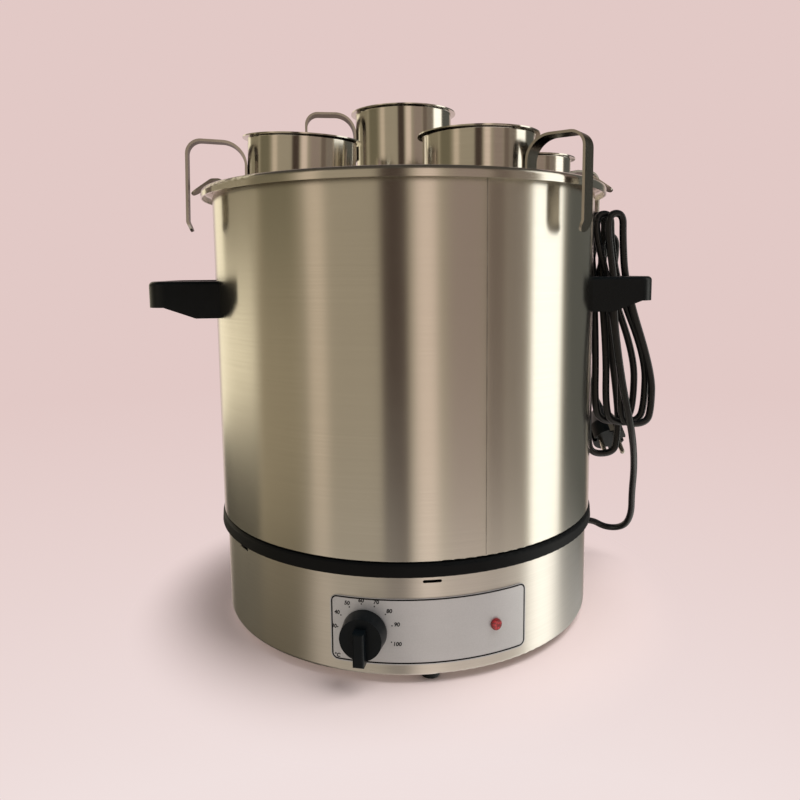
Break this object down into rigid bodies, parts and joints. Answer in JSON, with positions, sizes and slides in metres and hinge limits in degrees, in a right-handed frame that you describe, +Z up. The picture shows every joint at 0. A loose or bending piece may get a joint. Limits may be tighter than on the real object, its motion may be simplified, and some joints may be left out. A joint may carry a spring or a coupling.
{
  "type": "wax melter",
  "caption": "Tall round steel water bath on a heating base with a front dial, side handles, a lift-out rack and dipping cups inside, and its mains lead hanked through one handle.",
  "frame": {"origin": "centre of the ring of feet, at the height of the feet's undersides", "axes": "+Z up, -Y out of the front where the dial is, +X to the right seen from the front"},
  "size_m": [0.4879, 0.382, 0.485],
  "materials": {
    "stainless": "satin",
    "zinc_steel": "satin",
    "aluminium": "satin",
    "black_plastic": "satin",
    "rubber": "matte",
    "panel_grey": "satin",
    "lamp_red": "gloss",
    "bare_nickel": "gloss",
    "brown_resin": "satin",
    "white_resin": "satin",
    "copper": "satin"
  },
  "bodies": {
    "base": {"base_plate": "zinc_steel", "base_shell": "stainless", "control_panel": "panel_grey", "cord_gland": "black_plastic", "cord_hank": "rubber", "cord_lead": "rubber", "cord_tail": "rubber", "element_clamp": "zinc_steel", "feet": "rubber", "foot_nuts": "zinc_steel", "foot_screws": "zinc_steel", "gland_nut": "black_plastic", "handle_left": "black_plastic", "handle_right": "black_plastic", "handle_screws": "zinc_steel", "handle_tabs": "zinc_steel", "heat_spreader": "aluminium", "heating_element": "zinc_steel", "lamp_body": "black_plastic", "lamp_clip": "zinc_steel", "lamp_lens": "lamp_red", "overheat_limiter": "bare_nickel", "plate_screws": "zinc_steel", "plug_body": "black_plastic", "plug_earth_clips": "bare_nickel", "plug_pins": "bare_nickel", "pot_floor": "stainless", "pot_rim": "stainless", "pot_wall": "stainless", "seal_ring": "rubber", "strain_relief": "rubber", "terminal_block": "white_resin", "thermostat_body": "brown_resin", "thermostat_bracket": "zinc_steel", "thermostat_probe": "copper", "thermostat_screws": "zinc_steel", "tie_nuts": "zinc_steel", "tie_studs": "zinc_steel", "wiring": "rubber"},
    "knob_body": {"knob": "black_plastic", "thermostat_shaft": "bare_nickel"},
    "rack": {"rack_plate": "stainless", "rack_legs": "stainless", "rack_strap_left": "stainless", "rack_strap_right": "stainless"},
    "cup_a": {"cup_front_left": "stainless", "cup_handle_front_left": "stainless"},
    "cup_b": {"cup_front_right": "stainless", "cup_handle_front_right": "stainless"},
    "cup_c": {"cup_rear_right": "stainless", "cup_handle_rear_right": "stainless"},
    "cup_d": {"cup_middle": "stainless", "cup_handle_middle": "stainless"}
  },
  "joints": [
    {"name": "knob_turn", "type": "hinge", "parent": "base", "child": "knob_body", "pos_m": [-0.05293, -0.16995, 0.0433], "axis": [0.2974, 0.9548, 0], "range_deg": [0, 290]},
    {"name": "rack_lift", "type": "slide", "parent": "base", "child": "rack", "axis": [0, 0, 1], "range_m": [0, 0.32]},
    {"name": "cup_lift_front_left", "type": "slide", "parent": "rack", "child": "cup_a", "axis": [0.0387, -0.0495, 0.998], "range_m": [0, 0.32]},
    {"name": "cup_lift_front_right", "type": "slide", "parent": "rack", "child": "cup_b", "axis": [0, 0, 1], "range_m": [0, 0.32]},
    {"name": "cup_lift_rear_right", "type": "slide", "parent": "rack", "child": "cup_c", "axis": [0, 0, 1], "range_m": [0, 0.32]},
    {"name": "cup_lift_middle", "type": "slide", "parent": "rack", "child": "cup_d", "axis": [0, 0, 1], "range_m": [0, 0.32]}
  ]
}
